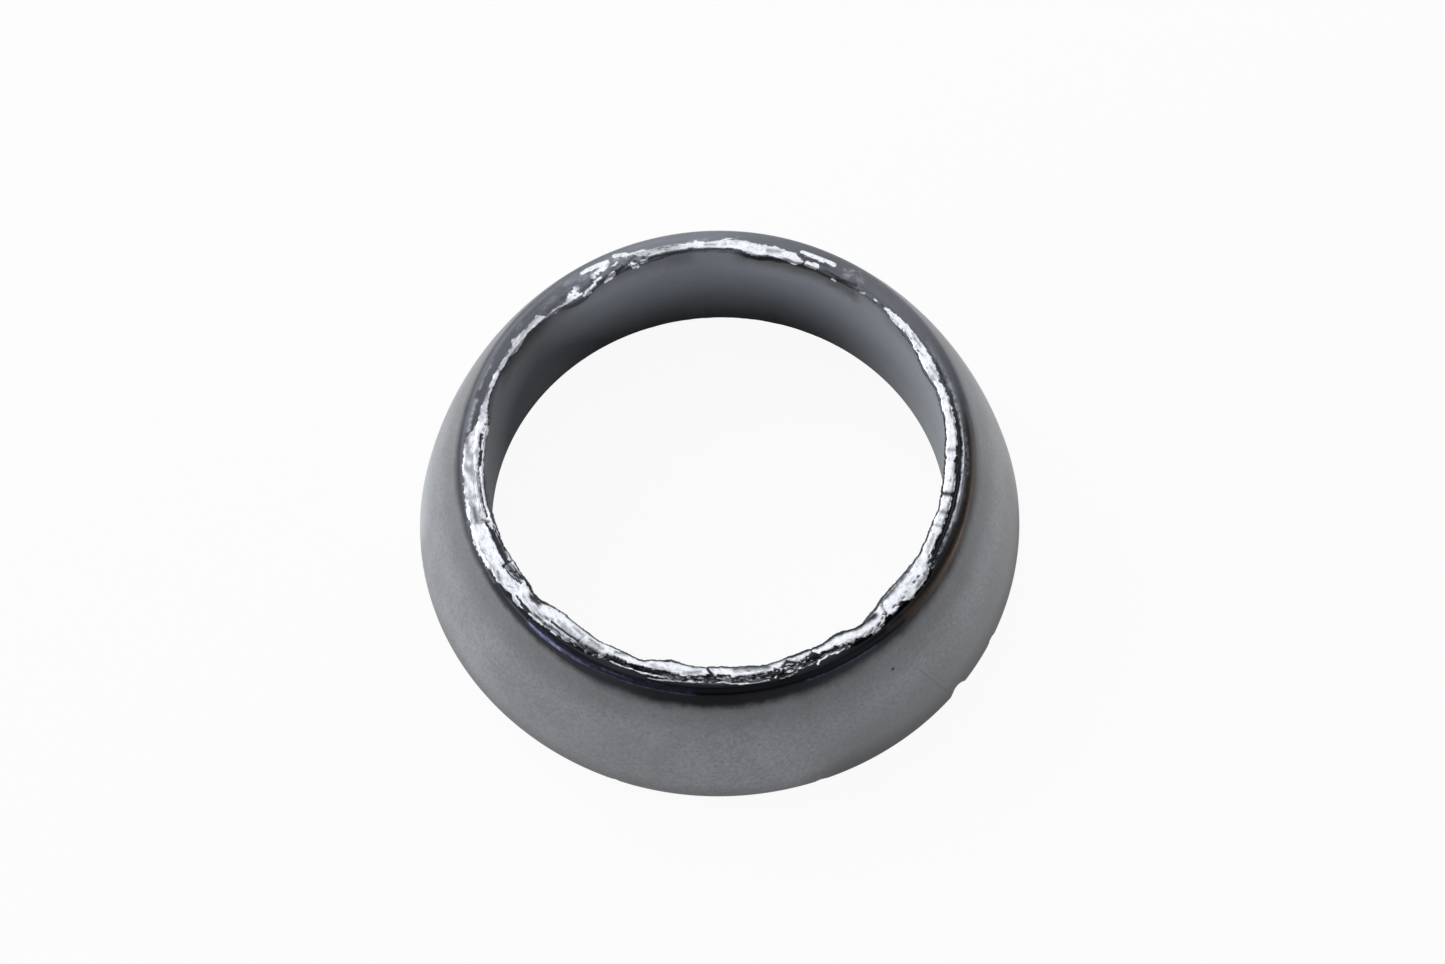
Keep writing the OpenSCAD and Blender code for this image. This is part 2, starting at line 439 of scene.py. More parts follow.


# %% [markdown]
# ## Where the foil shows
# The foil is bright on the bead. On the left it is smeared out over the shoulder as a broad flat
# face, and on the far side only patches of it are left. Outside the bead on the near side lie broken
# flecks of it, and on the right a thin streak that is a painted highlight. Its cover is kept as a
# number from 0 to 1.

# %% Cover of the foil
FOIL_EDGES = [
    (-180, 25.35, 27.65), (-175, 25.40, 27.75), (-170, 25.45, 27.80), (-166, 25.50, 27.85), (-164.5, 25.50, 28.00),
    (-162, 25.20, 28.25), (-158, 25.10, 28.20), (-154.5, 25.10, 28.10), (-152, 25.15, 27.85), (-148, 25.30, 27.75),
    (-145, 25.60, 27.70), (-143, 25.70, 27.75), (-141, 25.90, 27.60), (-138.5, 25.70, 27.55), (-137, 25.30, 27.55),
    (-134, 25.10, 27.40), (-130, 25.05, 27.35), (-127, 25.20, 27.30), (-123, 25.20, 27.25), (-119.5, 25.20, 27.15),
    (-118, 25.20, 26.30), (-114, 25.20, 26.40), (-110, 25.50, 26.30), (-106, 25.15, 26.30), (-103, 25.00, 26.25),
    (-100, 25.05, 26.50), (-97, 25.10, 26.40), (-94, 25.15, 26.20), (-91, 25.10, 26.15), (-88, 25.15, 26.40),
    (-84, 25.30, 26.45), (-80, 25.40, 26.55), (-77.5, 25.30, 26.25), (-75.3, 25.15, 25.75), (-72.5, 25.10, 26.40),
    (-70.5, 25.10, 26.10), (-69, 25.10, 25.70), (-67.5, 25.05, 26.20), (-63, 25.00, 26.25), (-61, 25.05, 26.40),
    (-59, 25.20, 26.70), (-57, 25.40, 27.00), (-54, 25.50, 27.25), (-51.5, 25.40, 27.20), (-49.5, 25.10, 26.60),
    (-48, 24.90, 27.00), (-46, 24.75, 26.90), (-44.5, 24.70, 26.55), (-42.5, 24.70, 27.15), (-39, 24.75, 27.25),
    (-36, 24.75, 27.15), (-33.5, 24.75, 26.80), (-31, 24.75, 26.30), (-29.5, 24.75, 26.15), (-27, 24.65, 25.95),
    (-24, 24.65, 25.95), (-21, 24.65, 26.10), (-16, 24.65, 26.15), (-13.5, 24.70, 26.10), (-12, 24.75, 26.30),
    (-8, 24.80, 26.10), (-3, 24.85, 26.00), (0, 24.90, 26.25), (6, 25.05, 26.35), (10, 25.30, 26.40),
    (13, 25.45, 26.25), (17, 25.30, 26.05), (20, 25.15, 26.20), (24, 25.00, 26.30), (27, 25.15, 26.35),
    (30, 25.50, 26.40), (34, 25.50, 26.35), (37.5, 25.25, 26.30), (39.5, 25.60, 26.15), (41.5, 25.70, 25.90),
    (42.5, 26.00, 25.70), (60.5, 26.00, 25.50), (62, 25.30, 25.95), (64.8, 25.30, 26.00), (65.4, 25.80, 25.70),
    (66.2, 25.30, 25.90), (68, 25.10, 26.40), (70, 25.30, 26.60), (74, 25.30, 26.70), (77, 25.10, 26.60),
    (79, 25.10, 26.80), (82, 25.60, 26.90), (86, 25.70, 26.85), (90, 25.70, 26.50), (93, 25.70, 26.70),
    (97, 25.75, 26.50), (100, 25.75, 26.40), (103, 25.80, 26.60), (106, 26.00, 26.95), (107.3, 26.30, 26.90),
    (108, 26.70, 26.40), (127.5, 25.40, 25.10), (129, 25.00, 25.35), (132, 25.10, 25.50), (135, 25.30, 25.70),
    (136.5, 25.50, 26.40), (139, 25.70, 26.35), (142, 25.75, 26.30), (145, 25.60, 26.80), (147, 25.40, 26.20),
    (149, 25.80, 26.25), (152, 25.85, 26.30), (157, 26.00, 26.50), (160, 26.00, 26.40), (163, 25.80, 26.55),
    (166, 25.55, 26.50), (169, 25.15, 26.40), (171, 25.15, 27.00), (173, 25.30, 27.50), (177, 25.35, 27.65),
]
EDGE_SOFTNESS = [(-180, 0.45), (-168, 0.35), (-164, 0.12), (-60, 0.10), (40, 0.14), (70, 0.22), (105, 0.25),
                 (132, 0.28), (165, 0.30), (173, 0.40)]
FLECKS = [
    (-117, 26.95, -111.7, 26.95, 0.09, 1), (-111, 27.00, -106, 26.95, 0.06, 0.9), (-106, 26.95, -101, 26.75, 0.06, 0.65),
    (-107.5, 27.45, -103, 27.25, 0.04, 0.5), (-103, 27.25, -97, 27.10, 0.04, 0.4), (-98.5, 26.95, -97, 26.85, 0.10, 0.8),
    (-96.5, 26.60, -95.5, 26.55, 0.06, 0.8), (-95.3, 26.80, -94.8, 26.85, 0.05, 0.8), (-92, 26.50, -90.5, 26.70, 0.05, 0.7),
    (-86.5, 26.75, -85.5, 26.80, 0.05, 0.5), (-83.5, 26.80, -81.5, 26.75, 0.05, 0.5), (-91, 27.00, -87.5, 27.30, 0.04, 0.5),
    (-87.5, 27.30, -84, 27.45, 0.05, 0.6), (-84, 27.45, -80.5, 27.35, 0.04, 0.5), (-79, 27.30, -78.6, 26.90, 0.08, 0.8),
    (-77.5, 26.80, -77, 26.40, 0.06, 0.6), (-76.5, 26.95, -75, 26.85, 0.08, 0.8), (-75.3, 26.75, -73, 26.75, 0.09, 0.9),
    (-73, 26.90, -72.3, 26.60, 0.06, 0.7), (-78, 27.55, -74, 27.30, 0.04, 0.45), (-75.8, 26.10, -74.4, 26.25, 0.09, 0.6),
    (-69, 27.25, -68, 26.90, 0.07, 0.9), (-68, 26.90, -65.5, 26.75, 0.09, 0.9), (-65.5, 26.75, -63.5, 26.85, 0.06, 0.8),
    # The flecks from azimuth -29 to 24 are a painted highlight streak on the right.
    (-62.5, 26.90, -60.5, 27.00, 0.06, 0.7), (-29, 26.90, -22, 26.82, 0.07, 0.24), (-22, 26.82, -15, 26.77, 0.09, 0.44),
    (-15, 26.82, -8, 26.82, 0.10, 0.52), (-8, 26.82, 0, 26.90, 0.10, 0.50), (0, 26.92, 8, 26.92, 0.10, 0.38),
    (8, 26.92, 16, 26.90, 0.10, 0.24), (16, 26.90, 24, 26.90, 0.10, 0.12),
    (-14.6, 27.50, -12.8, 27.45, 0.04, 0.26), (-5, 27.20, 0.5, 27.25, 0.04, 0.22),
    (44.4, 25.85, 45.2, 25.85, 0.09, 0.8), (48, 25.65, 49, 25.55, 0.10, 0.7), (56, 25.10, 57.2, 25.10, 0.12, 0.6),
]
PATCHES = [
    (58.6, 26.82, 66.8, 26.80, 0.24, 1),
    (105.2, 25.60, 106.8, 25.40, 0.24, 0.7), (108.3, 25.10, 109.5, 25.50, 0.30, 1), (107.8, 26.75, 109.5, 26.80, 0.22, 0.6),
    (109.8, 26.95, 112.2, 27.25, 0.30, 0.9), (114.2, 25.40, 117.4, 24.85, 0.22, 1), (114.5, 27.00, 121, 27.15, 0.25, 0.95),
    (111, 25.60, 112.5, 25.40, 0.16, 0.6), (115.2, 26.60, 119.5, 26.15, 0.30, 0.75), (117.8, 25.60, 119.8, 25.40, 0.20, 0.5),
    (112.4, 26.50, 114, 26.20, 0.2, 0.5), (120.2, 25.10, 123.3, 24.85, 0.20, 0.9),
    (124.3, 25.95, 127.3, 25.55, 0.28, 0.9), (124.6, 25.10, 128.5, 25.25, 0.25, 0.9), (122, 24.60, 124.4, 24.60, 0.12, 0.8),
    (96, 26.55, 104, 26.65, 0.15, 0.40), (83, 26.95, 86, 26.95, 0.12, 0.34),
]
CRUMB_ZONE = [(-122, 0.0), (-118, 0.5), (-103, 0.6), (-98, 1.2), (-82, 0.9), (-70, 1.1), (-60, 1.0), (-57, 0.3), (-50, 0.0),
              (-36, 0.0), (-33, 0.8), (-30, 0.4), (-28, 0.0), (60, 0.0)]

fray = 0.24 * outer_fray + 1.7 * wander
inner_edge = round_ring([(turn, inner) for turn, inner, outer in FOIL_EDGES], seen_turn)
outer_edge = round_ring([(turn, outer) for turn, inner, outer in FOIL_EDGES], seen_turn)
softness = round_ring(EDGE_SOFTNESS, seen_turn)
band = ease((outer_edge + fray - seen_radius) / softness + 0.3)
band *= ease((seen_radius - inner_edge - 0.08 * inner_fray - 1.2 * wander) / 0.10 + 0.5)
far_patches = ease(strokes_over(PATCHES, soft=True) * (1.7 + 1.3 * crumbs + 0.6 * grit) - 0.1)
flecks = strokes_over(FLECKS)
crumb_zone = round_ring(CRUMB_ZONE, seen_turn) * ease((seen_radius - 26.25) / 0.2) * ease((27.2 - seen_radius) / 0.2)
flakes = noise_over(top_rows, 0.27, 2.4, layer=87)
crumb_flecks = crumb_zone * (0.20 + 0.55 * ease((0.9 * flakes + 0.6 * grit - 0.04) / 0.24))
foil = np.maximum(np.maximum(band, flecks), np.maximum(crumb_flecks, far_patches))
foil[:, :top_rows.start] = 0
foil[:, tuck_rows] *= 1 - tuck_share
foil[:, tuck_rows.stop:] = 0
print("foil covers", round(float(foil[:, top_rows].mean()), 2), "of the rows at the top")

# %% [markdown]
# ## Cracks, folds and shades
# The foil was melted and flattened in the press. Cracks run along and across it and are dark with
# graphite; the same list also paints shade into the groove on the right and under the lip. On the
# left its lower edge lies in folds with painted shade. Other parts are darkened by soft strokes of
# painted shade without depth.

# %% Cracks and shades
CRACKS_AND_SHADE = [
    (-180, 25.98, -174, 25.84, 0.10, 0.7), (-174, 25.92, -166, 25.85, 0.11, 0.8), (-177, 25.40, -168, 25.45, 0.05, 0.7), (-164.5, 26.20, -160, 25.75, 0.12, 1), (-162, 25.88, -153, 25.88, 0.24, 1),
    (-163, 25.45, -156, 25.35, 0.05, 0.8), (-152.5, 26.50, -152.7, 25.40, 0.06, 1), (-152.3, 26.45, -149, 26.35, 0.06, 1),
    (-149, 26.35, -146.3, 25.85, 0.06, 1), (-151.5, 25.50, -147, 25.45, 0.08, 0.9), (-150.5, 26.10, -149.5, 25.60, 0.06, 0.9),
    (-149, 25.90, -147.5, 25.60, 0.06, 0.8), (-143, 25.85, -138.6, 25.85, 0.14, 0.45), (-142, 26.10, -139.5, 26.05, 0.16, 0.45),
    (-144.3, 27.20, -139, 27.35, 0.12, 0.8), (-142, 27.55, -139.5, 27.50, 0.10, 0.7), (-147.5, 27.30, -146.5, 26.90, 0.05, 0.5),
    (-134, 26.45, -131, 26.50, 0.16, 1), (-131, 26.50, -126, 26.45, 0.13, 0.9), (-126.5, 26.60, -124, 26.90, 0.09, 0.8),
    (-124, 26.60, -120.5, 26.80, 0.12, 0.8), (-126.5, 27.10, -122, 27.05, 0.08, 0.6), (-126, 26.40, -125.5, 25.60, 0.05, 0.6),
    (-133.5, 26.90, -130, 27.10, 0.05, 0.5), (-118.5, 26.45, -114.5, 26.45, 0.16, 1), (-110, 26.50, -101, 26.50, 0.10, 1),
    (-93, 26.30, -94.8, 25.20, 0.13, 1), (-79.3, 26.60, -77.3, 26.30, 0.06, 1), (-77.3, 26.30, -75.3, 25.65, 0.08, 1),
    (-75.3, 25.65, -72.6, 26.40, 0.05, 0.9), (-72, 26.40, -69, 25.70, 0.06, 1), (-69, 25.70, -68.8, 25.20, 0.05, 0.8),
    (-71, 26.50, -68, 26.45, 0.12, 1), (-66, 26.45, -63, 26.45, 0.12, 1), (-49.3, 26.60, -48.6, 26.20, 0.06, 1),
    (-48.6, 26.25, -46.5, 26.25, 0.07, 0.6), (-46.5, 26.30, -44.5, 26.80, 0.08, 0.8), (-44.5, 26.55, -42.8, 26.45, 0.07, 0.7),
    (-42.8, 26.45, -41.3, 26.20, 0.06, 0.6), (-38.8, 26.33, -36.3, 26.30, 0.06, 0.8), (-35, 26.35, -32.5, 26.20, 0.04, 0.6),
    (-34, 26.90, -31, 26.50, 0.07, 0.6), (-32.5, 26.30, -30.5, 26.00, 0.08, 0.9), (-48.5, 25.60, -47.5, 25.30, 0.06, 0.8),
    (-30, 26.38, -8, 26.36, 0.17, 1), (-8, 26.34, 5, 26.48, 0.13, 0.9), (5, 26.52, 14, 26.60, 0.08, 0.7),
    (14, 26.30, 22, 26.45, 0.06, 0.5), (51, 25.90, 55, 25.40, 0.18, 0.9), (55, 25.50, 60, 25.65, 0.11, 0.8),
    (42, 25.80, 43, 25.90, 0.10, 0.6), (128, 25.85, 134, 25.75, 0.15, 0.6), (120.5, 25.50, 124.5, 25.30, 0.15, 0.8),
    (107.6, 26.40, 110, 25.90, 0.12, 0.8), (110.5, 25.70, 114, 25.20, 0.14, 0.8), (112.5, 26.20, 114.5, 25.80, 0.18, 0.5),
    (96, 25.60, 105, 25.50, 0.12, 0.8), (140, 25.50, 148, 25.30, 0.15, 0.7), (84, 25.50, 96, 25.60, 0.07, 0.6),
    (148, 25.60, 154, 25.70, 0.10, 0.6), (154, 25.80, 166, 25.60, 0.07, 0.6), (174, 25.75, 180, 25.85, 0.08, 0.9),
    (160, 25.78, 164, 25.66, 0.12, 0.9), (171.5, 25.88, 175, 25.80, 0.12, 0.9), (166.5, 25.40, 169, 25.20, 0.08, 0.8),
    (176, 25.50, 180, 25.70, 0.10, 0.8), (-58, 26.95, -55.5, 26.60, 0.06, 0.6), (-54.5, 26.90, -53.4, 26.70, 0.06, 0.6),
    (-52.3, 26.85, -50.5, 26.55, 0.07, 0.8), (-50.5, 26.55, -49.4, 26.20, 0.06, 0.8), (-41.5, 26.25, -39.5, 26.32, 0.06, 0.35),
    (171.5, 25.60, 173, 25.85, 0.06, 0.7), (65.2, 26.30, 65.4, 25.30, 0.10, 0.6), (60, 26.30, 67, 26.35, 0.10, 0.7),
]
CUTS = [(-13.4, 26.2, -13.7, 24.8, 0.28, 0.85), (-22.3, 26.0, -22.5, 24.9, 0.20, 0.35), (-18.6, 25.9, -18.6, 24.9, 0.34, 0.45),
        (-1.5, 25.9, -1.5, 24.9, 0.26, 0.35), (-171.5, 27.6, -172.0, 26.1, 0.35, 0.3), (-48.8, 26.4, -48.2, 25.5, 0.12, 0.4)]
SHADES = [
    (-131, 26.40, -121, 26.60, 0.34, 0.40), (-124, 26.2, -120, 26.0, 0.16, 0.4), (-139, 27.3, -136, 27.1, 0.14, 0.5), (-137.5, 26.80, -134, 26.30, 0.12, 0.5), (-133, 25.90, -128, 26.10, 0.12, 0.4),
    (-57, 25.60, -51, 25.72, 0.27, 1.0), (-49, 25.05, -33, 24.95, 0.20, 0.75), (-88, 25.45, -80, 25.85, 0.30, 0.62),
    (-117, 25.75, -114, 25.40, 0.16, 0.6), (-98, 25.30, -94, 25.30, 0.14, 0.6), (-169, 27.00, -165.5, 27.10, 0.30, 0.6), (-178, 26.12, -170, 26.08, 0.16, 0.45),
    (-165.3, 27.80, -164.8, 26.30, 0.14, 0.40), (-165.6, 26.50, -164.6, 25.90, 0.16, 0.7), (120, 26.30, 124, 26.00, 0.30, 0.5), (-60, 26.30, -58, 26.60, 0.12, 0.3),
    (-152, 27.30, -150, 27.60, 0.14, 0.4), (-160, 25.55, -154, 25.55, 0.10, 0.8),
    (-152, 26.00, -147.5, 25.75, 0.34, 0.70), (-142, 25.95, -139.5, 25.9, 0.3, 0.92), (-135, 27.20, -131, 26.90, 0.14, 0.6),
    (-126, 26.95, -121, 26.70, 0.24, 0.48), (-124, 25.70, -121, 25.90, 0.14, 0.5), (-129, 25.5, -126, 25.7, 0.12, 0.4),
    (-108, 25.90, -103, 26.05, 0.12, 0.3), (-100, 26.10, -96, 25.80, 0.16, 0.5), (-30, 25.60, -25, 25.40, 0.14, 0.3),
    (-10, 25.60, -5, 25.85, 0.10, 0.3), (-28, 24.80, -24, 24.90, 0.10, 0.6), (4, 26.20, 9, 26.05, 0.10, 0.35),
    (18, 26.00, 22, 25.80, 0.14, 0.35), (28, 25.90, 32, 26.10, 0.12, 0.3), (72, 26.10, 75, 25.90, 0.20, 0.4),
    (88, 26.10, 90.5, 26.20, 0.16, 0.4), (99, 26.10, 102, 26.30, 0.14, 0.4), (143, 26.10, 146, 26.20, 0.14, 0.35),
    (155, 26.20, 156.5, 26.30, 0.12, 0.4), (161, 26.1, 163, 26.2, 0.14, 0.4), (134, 26.3, 154, 26.25, 0.5, 0.34),
    (154, 26.3, 167, 26.2, 0.5, 0.22), (128, 25.3, 134, 25.4, 0.3, 0.28), (97, 26.2, 107, 26.4, 0.4, 0.22),
]
# The rim is painted shade along the inner edge of the lip and under it: its width and strength by azimuth.
RIM_SHADE = [(-180, 0.12, 0.9), (-166, 0.14, 0.9), (-150, 0.16, 0.9), (-141, 0.20, 1.0), (-137, 0.16, 0.9), (-126, 0.20, 0.9),
       (-120, 0.16, 0.9), (-112, 0.22, 1.0), (-108, 0.26, 1.0), (-100, 0.20, 0.9), (-90, 0.26, 1.0), (-78, 0.22, 0.9),
       (-74, 0.30, 1.0), (-62, 0.44, 1.0), (-58, 0.40, 1.0), (-50, 0.36, 1.0), (-46, 0.30, 0.9), (-33, 0.26, 0.9),
       (-28, 0.22, 0.9), (-16, 0.24, 0.9), (-8, 0.22, 0.9), (0, 0.22, 0.9), (10, 0.24, 1.0), (33, 0.22, 1.0), (42, 0.10, 0.3),
       (60, 0.06, 0.0), (150, 0.06, 0.0), (170, 0.10, 0.6)]
# Violet strokes are painted highlights along the dark shoulder.
VIOLET_HIGHLIGHTS = [
    (-138, 28.05, -134, 28.35, 0.08, 0.7), (-134, 28.40, -129, 28.50, 0.12, 0.8), (-129, 28.50, -126, 28.70, 0.10, 0.9),
    (-126, 28.65, -121, 28.45, 0.10, 0.5), (-121, 28.70, -105, 28.75, 0.07, 0.35), (-118, 28.15, -111, 28.05, 0.09, 0.6),
    (-124, 28.10, -119, 28.20, 0.07, 0.3), (-108, 27.90, -104, 27.85, 0.06, 0.3), (-145, 28.10, -139, 28.10, 0.12, 0.14),
    (-124, 28.9, -108, 29.1, 0.30, 0.22), (-72, 28.6, -56, 28.7, 0.30, 0.16), (-137, 28.3, -124, 28.5, 0.40, 0.36),
    (-124, 28.4, -98, 28.5, 0.50, 0.15), (-137.5, 28.25, -133, 28.5, 0.07, 0.9), (-132, 28.4, -127, 28.65, 0.07, 1.0),
]
# Haze strokes lighten the dark shoulder: soft pale patches, and painted highlights such as the streak on the right.
HAZE_AND_HIGHLIGHTS = [(-29, 26.80, -20, 26.80, 0.22, 0.40), (-20, 26.85, 0, 26.90, 0.27, 0.62), (0, 26.96, 16, 26.95, 0.25, 0.55),
        (16, 26.95, 28, 26.90, 0.20, 0.30),
        (50.5, 26.85, 55.5, 26.95, 0.34, 0.5), (53.2, 27.35, 54.5, 26.60, 0.40, 0.7), (123, 27.10, 126, 27.10, 0.26, 0.55),
        (140, 27.10, 142, 27.10, 0.18, 0.4), (152, 27.30, 160, 27.35, 0.14, 0.45), (163, 27.30, 171, 27.35, 0.20, 0.7),
        (83, 27.20, 86, 26.95, 0.26, 0.5), (90, 26.90, 94, 26.80, 0.2, 0.4), (0, 27.10, 14, 27.05, 0.16, 0.35),
        (112, 26.90, 122, 26.80, 0.45, 0.45), (130, 26.70, 134, 26.60, 0.25, 0.25), (-8, 27.45, 2, 27.30, 0.08, 0.3),
        (-166, 28.15, -150, 28.30, 0.16, 0.25), (-103, 26.75, -80, 26.95, 0.34, 0.40), (-75, 26.7, -62, 26.6, 0.3, 0.25)]
BROWN = [(-51, 27.90, -46, 28.05, 0.24, 0.5), (-46, 28.10, -36, 28.20, 0.40, 0.9), (-36, 28.20, -22, 28.05, 0.38, 0.9),
         (-22, 28.05, 0, 27.90, 0.30, 0.8), (0, 27.85, 10, 27.80, 0.22, 0.4)]
CRACK_DEPTH, CUT_DEPTH, FLECK_HEIGHT = 0.10, 0.07, 0.05

cracks_and_shade = strokes_over(CRACKS_AND_SHADE)
cuts = strokes_over(CUTS, soft=True)
shades = strokes_over(SHADES, soft=True)
# Painted shade on the nose of the lip, from its inner edge outwards.
rim_place = seen_radius - seen_radius[:, bead_rows].min(axis=1, keepdims=True)
rim_shade_width = round_ring([(turn, width) for turn, width, strength in RIM_SHADE])
rim_shade_strength = round_ring([(turn, strength) for turn, width, strength in RIM_SHADE])
rim_shade = rim_shade_strength * ease(1.2 - rim_place / (rim_shade_width * (1 + 2.5 * wander)))
rim_shade[:, :bead_rows.start] = 0
rim_shade[:, tuck_rows] *= 1 - tuck_share
rim_shade[:, tuck_rows.stop:] = 0
smears = noise_over(top_rows, 0.55, 2.2, layer=77)
# Painted shade that dulls the broad foil face on the left.
left_face_shade = stretch_over(170, 194.5, 6) * ease((seen_radius - 25.8) / 0.3) * (0.20 + 0.40 * smears + 0.15 * crumbs).clip(0, 1)
violet_highlight = strokes_over(VIOLET_HIGHLIGHTS, soft=True) * (0.85 + 0.7 * crumbs + 0.4 * grit).clip(0.1, 1.3)
brown = strokes_over(BROWN, soft=True)
haze_and_highlight = strokes_over(HAZE_AND_HIGHLIGHTS, soft=True) * (0.62 + 0.7 * patches + 1.0 * crumbs + 0.6 * grit).clip(0, 1.2)

# %% [markdown]
# ## Crumpled foil
# The foil has long soft dents and a few finer folds with sharp valleys between them, and it is
# crumbled where it broke.

# %% Crumple the foil
DENT, SMALL_DENT, FOLD, WRINKLE, CRUMB = 0.080, 0.055, 0.045, 0.006, 0.045
CREASE_DEPTH = 0.04

dents = noise_over(bead_rows, 0.95, 3.0, layer=3)
folds = noise_over(bead_rows, 0.75, 2.5, layer=17)
wrinkles = noise_over(bead_rows, 0.2, 4.0, layer=29)
small_dents = noise_over(top_rows, 0.42, 2.0, layer=11)
face_dents = noise_over(top_rows, 0.9, 0.8, layer=5)

on_bead = np.zeros(radius.shape)
on_bead[:, bead_rows] = ease(unit_x / 0.05)
crease = ease(1 - np.abs(folds) / 0.045) * ease((patches - 0.12) / 0.15) * on_bead
crumbly = np.maximum(crumb_zone, strokes_over([(-133, 26.8, -121, 26.8, 0.35, 0.8), (-162, 25.7, -148, 25.7, 0.5, 0.8),
                                               (104, 25.7, 127, 25.6, 0.6, 1.0), (168, 25.6, 180, 25.7, 0.3, 0.9),
                                               (-88, 25.5, -80, 25.8, 0.3, 0.5), (-36, 26.5, -30, 26.3, 0.3, 0.7),
                                               (-79, 26.2, -68, 26.3, 0.5, 0.7)], soft=True))
relief = on_bead * (DENT * dents + FOLD * np.abs(folds) + WRINKLE * wrinkles) - CREASE_DEPTH * crease
relief = relief + (0.03 * face_dents + SMALL_DENT * small_dents) * foil + FLECK_HEIGHT * flecks * (1 - on_bead) + CRUMB * crumbly * (crumbs + 0.6 * grit)
relief = relief - CRACK_DEPTH * cracks_and_shade - CUT_DEPTH * cuts
# Dark marks: the cracks, and painted shade in the crease valleys, on the rim and in the hollows between crumbs.
dark = np.maximum(np.maximum(crease * 0.7, cracks_and_shade), 0.75 * rim_shade * ease((rim_shade - 0.5) / 0.4))
dark = np.maximum(dark, crumbly * ease((-crumbs - 0.4 * grit - 0.16) / 0.12) * 0.9)
print("relief from", round(relief.min(), 3), "to", round(relief.max(), 3), "mm")

# %% [markdown]
# ## Shoulder and flank
# The press burnished the shoulder and left faint marks that run round the ring. The flank is almost
# true, and a little out of round.

# %% Burnish marks and unevenness
MARK_HEIGHT = 0.012
RAGGED_EDGE = 0.06
shoulder_rows = rows_of["shoulder"]
marks = noise_over(slice(shoulder_rows.start, seat_rows.stop), 0.35, 14, layer=71)
relief += MARK_HEIGHT * marks * (1 - foil)
outer = np.zeros(radius.shape[1])
outer[:shoulder_rows.start] = ease(1 - section[:shoulder_rows.start, 1] / MM / 14)
outer[:rows_of["base"].stop - 1] = 0
out_of_round = 0.12 * bump_at(-45, 28) - 0.14 * bump_at(-135, 30)
radius = radius + outer * out_of_round
bore_edge_rows = slice(rows_of["bore_edge"].start, rows_of["bore_edge"].stop - 1)
radius[:, bore_edge_rows] += RAGGED_EDGE * (0.5 + noise_round(1.5, 83) + 0.5 * noise_round(0.5, 91)).clip(0, 1)

# %% Push the grid along its normals
slope_r = np.roll(radius, -1, axis=1) - np.roll(radius, 1, axis=1)
slope_z = np.roll(height, -1, axis=1) - np.roll(height, 1, axis=1)
slope = np.hypot(slope_r, slope_z)
new_radius = radius + relief * slope_z / slope
new_height = height - relief * slope_r / slope

places = np.stack([new_radius * np.cos(turns), new_radius * np.sin(turns), new_height], axis=2)

# %% [markdown]
# ## Chips
# Small flakes have broken from the base's outer edge. Each hollow is a ball that the points are
# pushed out of.

# %% Chips in the base's edge
CHIP_RADIUS = 1.6
CHIP_SLOPE = math.radians(30)
CHIPS = [(-41, 0.7), (-29, 0.32), (-73, 0.25), (-112, 0.28)]
chipped = np.zeros(radius.shape)
for centre, bite in CHIPS:
    turn = math.radians(centre)
    off = CHIP_RADIUS - bite
    out = base_radius / MM + off * math.cos(CHIP_SLOPE)
    middle = np.array([out * math.cos(turn), out * math.sin(turn), -off * math.sin(CHIP_SLOPE)])
    away = places - middle
    distance = np.linalg.norm(away, axis=2)
    inside = distance < CHIP_RADIUS
    places[inside] = middle + away[inside] / distance[inside, None] * CHIP_RADIUS
    chipped = np.maximum(chipped, ease((CHIP_RADIUS - distance) / 0.12))
places[:, :, 2] = np.maximum(places[:, :, 2], 0)
print("points in chips:", int((chipped > 0).sum()))

# %% Write the points and what the finish reads
# The dark shoulder begins at this height by azimuth and fades in over this width. Its darkness is partly burnish and
# partly painted reflection, and it reaches lower on the near side.
BURNISH_AND_REFLECTION_EDGE = [(-180, 15.0), (-165, 15.05), (-150, 14.95), (-140, 14.85), (-130, 14.6), (-120, 14.2), (-105, 13.75),
                (-90, 13.85), (-75, 13.9), (-60, 14.2), (-45, 14.4), (-30, 14.75), (-15, 14.95), (0, 15.0), (30, 15.3),
                (60, 15.4), (120, 15.4), (160, 15.3)]
BURNISH_AND_REFLECTION_FADE = [(-180, 0.7), (-150, 0.45), (-130, 0.5), (-110, 0.95), (-90, 0.8), (-60, 1.1), (-45, 1.1), (-30, 0.8),
                (0, 1.0), (25, 1.6), (90, 1.6), (160, 1.2)]
# The shoulder's tone by azimuth is painted reflection: near black on the near side and pale on the far side.
SKIN_TONE_AND_REFLECTION = [(-180, 0.31), (-165, 0.31), (-150, 0.11), (-140, 0.10), (-125, 0.09), (-112, 0.07), (-105, 0.035), (-90, 0.02),
             (-75, 0.04), (-60, 0.075), (-45, 0.06), (-30, 0.10), (-15, 0.18), (0, 0.34), (15, 0.38), (30, 0.48),
             (45, 0.52), (60, 0.46), (75, 0.62), (90, 0.88), (105, 0.95), (120, 0.64), (135, 0.46), (150, 0.44), (165, 0.36)]


def keep(name, field):
    """Keeps one number for each point on the ring, under a name that the material reads."""
    layer = ring.data.attributes.new(name, "FLOAT", "POINT")
    layer.data.foreach_set("value", np.broadcast_to(field, radius.shape)[step_of, row_of].astype(float))


